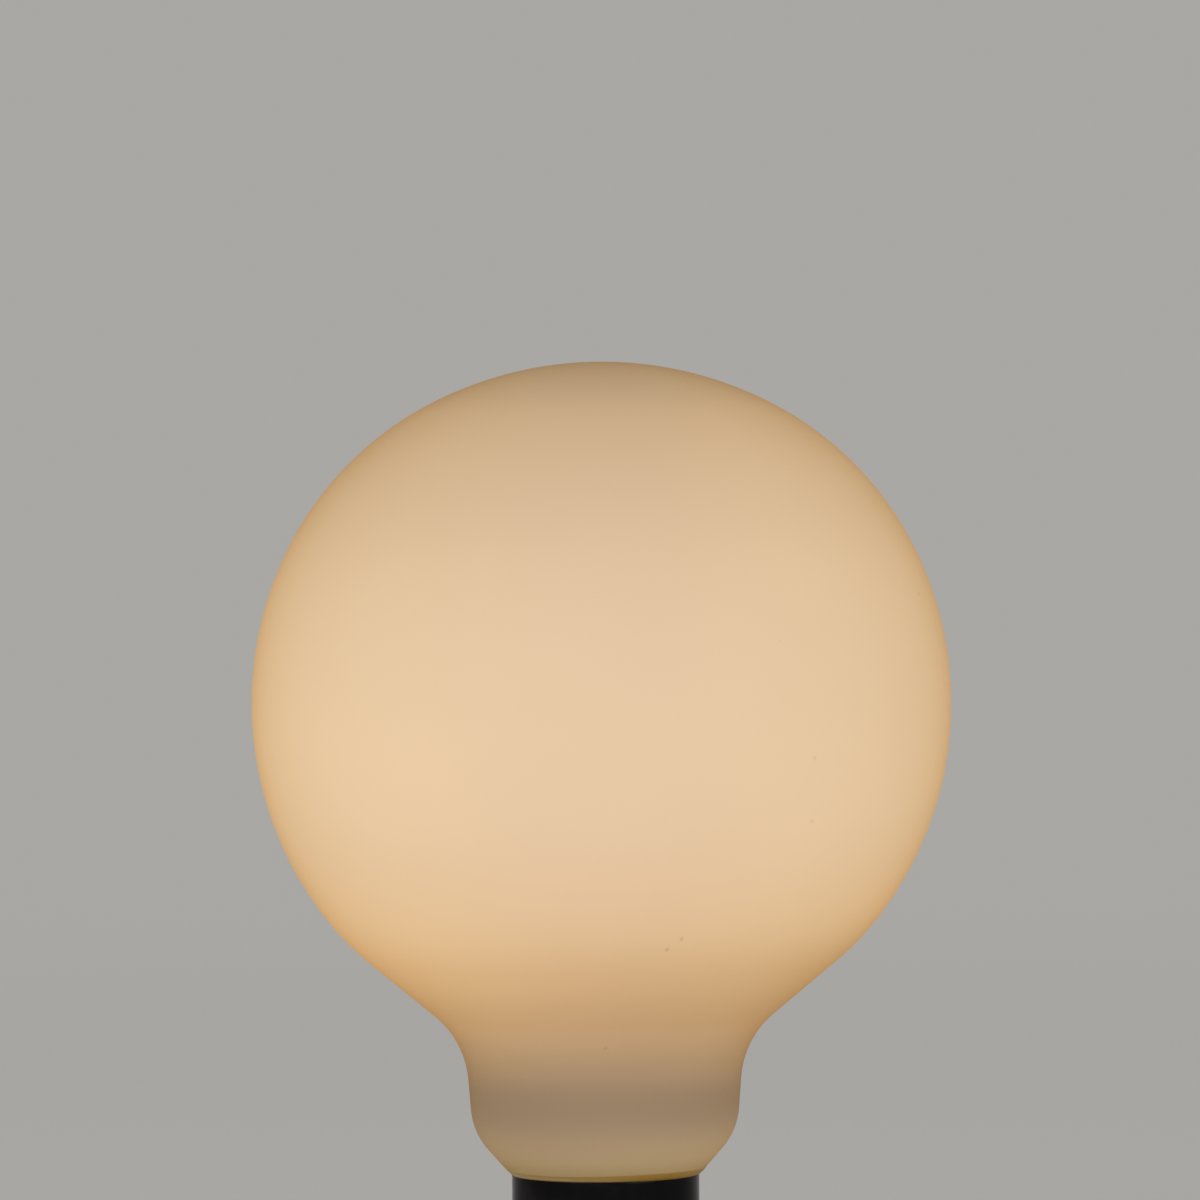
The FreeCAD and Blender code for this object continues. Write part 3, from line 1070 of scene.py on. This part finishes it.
@dataclass
class CementBead(Piece):
    """The cement between the glass and the cap, squeezed out more on one side."""

    node = Node.CEMENT
    slot = Slot.CEMENT
    SHARE = "bead_share"
    HEAD = "bead_head"

    cap: CapSizes
    finish: BasingCement
    depth: float = 0.6
    wetting: float = 0.16
    skin: float = 0.015
    foot_inset: float = 0.02
    recess: float = 0.06
    swell: float = 0.16
    climb: float = 0.4
    unevenness: float = 0.05
    turn: float = -20.0
    steps: int = 10
    segments: int = 256

    def shape(self) -> bpy.types.Object:
        """Turns the ring and squeezes its bead out.

        Returns:
            The bare piece.
        """
        cap = self.cap
        top, rim = cap.glass_end_height, cap.rim_height
        head = Vector((cap.glass_end_radius, top)) + along(cap.seat_lean) * self.wetting
        head += outward(cap.seat_lean) * self.skin
        foot = Vector((cap.collar_radius - self.foot_inset, rim))
        bead = [tuple(head.lerp(foot, index / self.steps)) for index in range(self.steps + 1)]
        hidden = [(cap.collar_bore, rim), (cap.collar_bore, cap.collar_floor + self.depth),
                  (cap.seal_radius, cap.collar_floor + self.depth), (cap.seal_radius, top)]
        piece = turned("cement_bead", [*bead, *hidden], self.segments, closed=True)
        self.mark(piece, head.y)
        rule = SqueezedBead()
        rule.lay_on(piece, Recess=self.recess * MM, Swell=self.swell * MM, Unevenness=self.unevenness * MM,
                    Turn=math.radians(self.turn), Climb=self.climb * MM,
                    Seat_Lean=math.radians(cap.seat_lean), Finish=self.finish.material())
        settle(piece)
        return piece

    def mark(self, piece: bpy.types.Object, top: float) -> None:
        """Marks how much each point of the bead is squeezed out, and how near to its head it is.

        Args:
            piece: the ring.
            top: height of the bead's head.
        """
        cap = self.cap
        shares = piece.data.attributes.new(self.SHARE, "FLOAT", "POINT")
        heads = piece.data.attributes.new(self.HEAD, "FLOAT", "POINT")
        for index, vertex in enumerate(piece.data.vertices):
            height = (vertex.co.z / MM - cap.rim_height) / (top - cap.rim_height)
            outside = height >= 0 and vertex.co.xy.length / MM > cap.collar_bore
            shares.data[index].value = math.sin(math.pi * height) if outside else 0.0
            heads.data[index].value = height if outside else 0.0


@dataclass
class CapShell(Piece):
    """The drawn and rolled sheet metal cap: collar, thread and the curl round the insulator."""

    node = Node.SHELL
    slot = Slot.CAP_METAL

    cap: CapSizes
    finish: BlackNickel
    rim_round: float = 0.07
    lead_in: float = 2.6
    lead_out: float = 2.4
    collar_ease: float = 0.4
    collar_taper: float = 0.02
    shoulder_drop: float = 0.8
    thread_run_out: float = 0.1
    step: float = 0.16
    segments: int = 208

    def outline(self) -> list[Place]:
        """Draws the outer side of the sheet before the thread is rolled, from the rim down.

        Returns:
            The half-section's places.
        """
        cap = self.cap
        drawn = Outline(self.step)
        rim = (cap.collar_radius - self.rim_round, cap.rim_height - self.rim_round)
        drawn.round(rim, self.rim_round, 90, 0)
        drawn.to(cap.collar_radius, cap.collar_bottom + self.collar_ease)
        drawn.to(cap.collar_radius - self.collar_taper, cap.collar_bottom)
        drawn.to(cap.middle_radius, cap.thread_top - self.shoulder_drop)
        drawn.to(cap.middle_radius, cap.curl_top + self.lead_in)
        runs = math.ceil(self.lead_in / self.step)
        for index in range(1, runs + 1):
            share = 1 - index / runs
            rise = eased(share) * cap.thread_depth / 2
            drawn.corner(cap.root_radius + rise, cap.curl_top + self.lead_in * share)
        drawn.round((cap.lip_radius, cap.curl_top), cap.curl_radius, 0, -90)
        return drawn.places

    def shape(self) -> bpy.types.Object:
        """Draws the sheet, rolls the thread into it and gives it its thickness.

        Returns:
            The bare piece.
        """
        cap = self.cap
        piece = turned("rolled_cap_shell", self.outline(), self.segments)
        half_depth, quarter = cap.thread_depth / 2, cap.thread_pitch / 4
        round_radius = (quarter ** 2 + half_depth ** 2) / (2 * half_depth)
        RolledThread().lay_on(
            piece, Pitch=cap.thread_pitch * MM, Round=round_radius * MM, Half_Depth=half_depth * MM,
            Bottom=cap.curl_top * MM, Top=(cap.collar_bottom + self.thread_run_out) * MM,
            Lead_In=self.lead_in * MM, Lead_Out=self.lead_out * MM, Finish=self.finish.material())
        wall = piece.modifiers.new("sheet", "SOLIDIFY")
        wall.thickness = cap.sheet * MM
        wall.offset = -1.0
        settle(piece)
        return piece


@dataclass
class Insulator(Piece):
    """The black glass moulded into the foot of the shell."""

    node = Node.INSULATOR
    slot = Slot.BLACK_GLASS

    cap: CapSizes
    finish: BlackGlass
    foot_radius: float = 5.6
    foot_round: float = 0.6
    foot_inset: float = 0.1
    foot_turn: float = -40.0
    lip_gap: float = 0.02
    lip_inset: float = 0.5
    lip_round: float = 0.45
    lip_turn: float = -45.0
    step: float = 0.2
    segments: int = 128

    def shape(self) -> bpy.types.Object:
        """Moulds the insulator.

        Returns:
            The bare piece.
        """
        cap = self.cap
        inner = cap.curl_radius - cap.sheet
        drawn = Outline(self.step)
        drawn.corner(0.0, cap.curl_top)
        drawn.corner(cap.root_radius - cap.sheet, cap.curl_top)
        drawn.round((cap.lip_radius, cap.curl_top), inner, 0, -90)
        drawn.to(cap.lip_radius, cap.lip_height + self.lip_gap)
        drawn.round((cap.lip_radius - self.lip_inset, cap.lip_height), self.lip_round, 0, self.lip_turn)
        foot = (self.foot_radius - self.foot_inset, cap.contact_height + self.foot_round)
        drawn.round(foot, self.foot_round, self.foot_turn, -90)
        drawn.corner(0.0, cap.contact_height)
        return turned("insulator_cone", drawn.places, self.segments)


@dataclass
class Contact(Piece):
    """The stamped contact plate at the foot."""

    node = Node.CONTACT
    slot = Slot.CONTACT_METAL

    cap: CapSizes
    finish: TinnedBrass
    radius: float = 4.8
    face_radius: float = 3.5
    bevel: float = 0.55
    edge_round: float = 0.2
    edge_rise: float = 0.1
    edge_break: float = 0.05
    face_round: float = 0.6
    bevel_turn: float = -67.0
    step: float = 0.08
    segments: int = 96

    def shape(self) -> bpy.types.Object:
        """Stamps the contact plate.

        Returns:
            The bare piece.
        """
        drawn = Outline(self.step)
        drawn.corner(0.0, self.cap.contact_height)
        drawn.corner(self.radius - self.edge_break, self.cap.contact_height)
        drawn.corner(self.radius, self.cap.contact_height - self.edge_break)
        edge = (self.radius - self.edge_round, self.bevel + self.edge_rise)
        drawn.round(edge, self.edge_round, 0, self.bevel_turn)
        drawn.round((self.face_radius, self.face_round), self.face_round, self.bevel_turn, -90)
        drawn.corner(0.0, 0.0)
        return turned("contact_plate", drawn.places, self.segments)


@dataclass(frozen=True)
class Softbox:
    """A plain soft studio lamp.

    Args:
        name: name of the lamp.
        place: where it hangs, in metres.
        side: length of its sides, in metres.
        power: its power in watts.
    """

    name: str
    place: Point
    side: float
    power: float


@dataclass
class Studio:
    """Pale floor and backdrop, soft lamps and the camera at the photograph's viewing angle."""

    backdrop: Colour = (0.40, 0.39, 0.375)
    floor: Colour = (0.45, 0.44, 0.424)
    ambient: float = 0.80
    floor_rings: tuple[float, ...] = (0.1, 0.3, 0.8, 2.0, 6.0)
    floor_segments: int = 96
    fade: Span = (0.35, 1.3)
    aim: float = 0.085
    boxes: tuple[Softbox, ...] = (
        Softbox("key", (-0.85, -1.15, 0.75), 0.8, 4.5),
        Softbox("fill", (0.95, -0.95, 0.45), 0.9, 3.0),
    )
    focal_pixels: float = 6250.0
    distance: float = 0.85
    eye_height: float = 0.1047
    clip: Span = (0.01, 50.0)
    roll: float = -0.5
    shift_pixels: float = -0.6

    def build(self) -> None:
        """Sets up the stage, the light and the camera."""
        scene = bpy.context.scene
        scene.view_settings.view_transform = "Standard"
        self.lay_floor()
        self.light_world()
        for box in self.boxes:
            self.hang(box)
        self.aim_camera()

    @staticmethod
    def seen_directly(board: Board) -> Socket:
        """Tells the rays that show the background from those that light the object.

        Args:
            board: the tree to work on.

        Returns:
            1 for camera, glossy and transmission rays.
        """
        path = board.add("ShaderNodeLightPath").outputs
        pair = board.math("MAXIMUM", path["Is Camera Ray"], path["Is Glossy Ray"])
        return board.math("MAXIMUM", pair, path["Is Transmission Ray"])

    @staticmethod
    def show(board: Board, share: Socket, lit: bpy.types.Node, seen: bpy.types.Node, output: str) -> None:
        """Ends a tree in a mix of two shaders.

        Args:
            board: the tree to work on.
            share: share of the second shader.
            lit: shader that the object is lit by.
            seen: shader that the background shows.
            output: Blender's name of the output node.
        """
        mix = board.add("ShaderNodeMixShader")
        for socket, value in zip(mix.inputs, (share, lit.outputs[0], seen.outputs[0])):
            board.feed(socket, value)
        board.feed(board.add(output).inputs["Surface"], mix.outputs[0])

    def lay_floor(self) -> None:
        """Lays the floor, which turns into the backdrop's colour further off."""
        places = [(0.0, 0.0), *((radius / MM, 0.0) for radius in self.floor_rings)]
        piece = turned("floor", places, self.floor_segments)
        if piece.data.polygons[0].normal.z < 0:
            piece.data.flip_normals()
        made = bpy.data.materials.new("pale_floor")
        made.use_nodes = True
        board = Board(made.node_tree)
        made.node_tree.nodes.clear()
        spread = board.vector("LENGTH", object_place(board), ORIGIN).outputs["Value"]
        share = board.mapped(spread, *self.fade, 0.0, 1.0, smooth=True)
        matt = board.add("ShaderNodeBsdfDiffuse")
        matt.inputs["Color"].default_value = (*self.floor, 1.0)
        far = board.add("ShaderNodeEmission")
        far.inputs["Color"].default_value = (*self.backdrop, 1.0)
        shown = board.math("MULTIPLY", share, self.seen_directly(board))
        self.show(board, shown, matt, far, "ShaderNodeOutputMaterial")
        piece.data.materials.append(made)

    def light_world(self) -> None:
        """Fills the room with even light and shows the backdrop's colour behind the object."""
        world = bpy.data.worlds.new("studio")
        world.use_nodes = True
        world.node_tree.nodes.clear()
        board = Board(world.node_tree)
        fill = board.add("ShaderNodeBackground")
        fill.inputs["Color"].default_value = (*WHITE, 1.0)
        fill.inputs["Strength"].default_value = self.ambient
        shown = board.add("ShaderNodeBackground")
        shown.inputs["Color"].default_value = (*self.backdrop, 1.0)
        self.show(board, self.seen_directly(board), fill, shown, "ShaderNodeOutputWorld")
        bpy.context.scene.world = world

    def hang(self, box: Softbox) -> None:
        """Hangs a lamp and turns it to the globe."""
        lamp = bpy.data.lights.new(box.name, "AREA")
        lamp.shape = "SQUARE"
        lamp.size = box.side
        lamp.energy = box.power
        holder = bpy.data.objects.new(box.name, lamp)
        holder.location = box.place
        towards = Vector((0.0, 0.0, self.aim)) - Vector(box.place)
        holder.rotation_mode = "QUATERNION"
        holder.rotation_quaternion = towards.to_track_quat("-Z", "Y")
        bpy.context.scene.collection.objects.link(holder)

    def aim_camera(self) -> None:
        """Sets the camera level in front of the bulb, with the photograph's slight roll."""
        lens = bpy.data.cameras.new("camera")
        lens.sensor_width = SENSOR_WIDTH
        lens.lens = self.focal_pixels / PHOTO_SIDE * SENSOR_WIDTH
        lens.shift_x = self.shift_pixels / PHOTO_SIDE
        lens.clip_start, lens.clip_end = self.clip
        camera = bpy.data.objects.new("camera", lens)
        camera.location = (0.0, -self.distance, self.eye_height)
        camera.rotation_mode = "QUATERNION"
        level = Quaternion((1.0, 0.0, 0.0), math.radians(90))
        camera.rotation_quaternion = level @ Quaternion((0.0, 0.0, 1.0), math.radians(self.roll))
        bpy.context.scene.collection.objects.link(camera)
        bpy.context.scene.camera = camera


def main() -> None:
    """Builds the bulb's pieces in order, then the studio round them."""
    logging.basicConfig(level=logging.INFO, format="%(name)s: %(message)s")
    cap = CapSizes()
    pieces: tuple[Piece, ...] = (
        GlassEnvelope(cap, OpalGlass()), CementBead(cap, BasingCement()), CapShell(cap, BlackNickel()),
        Insulator(cap, BlackGlass()), Contact(cap, TinnedBrass()),
    )
    for piece in pieces:
        piece.build()
    Studio().build()


if __name__ == "__main__":
    main()
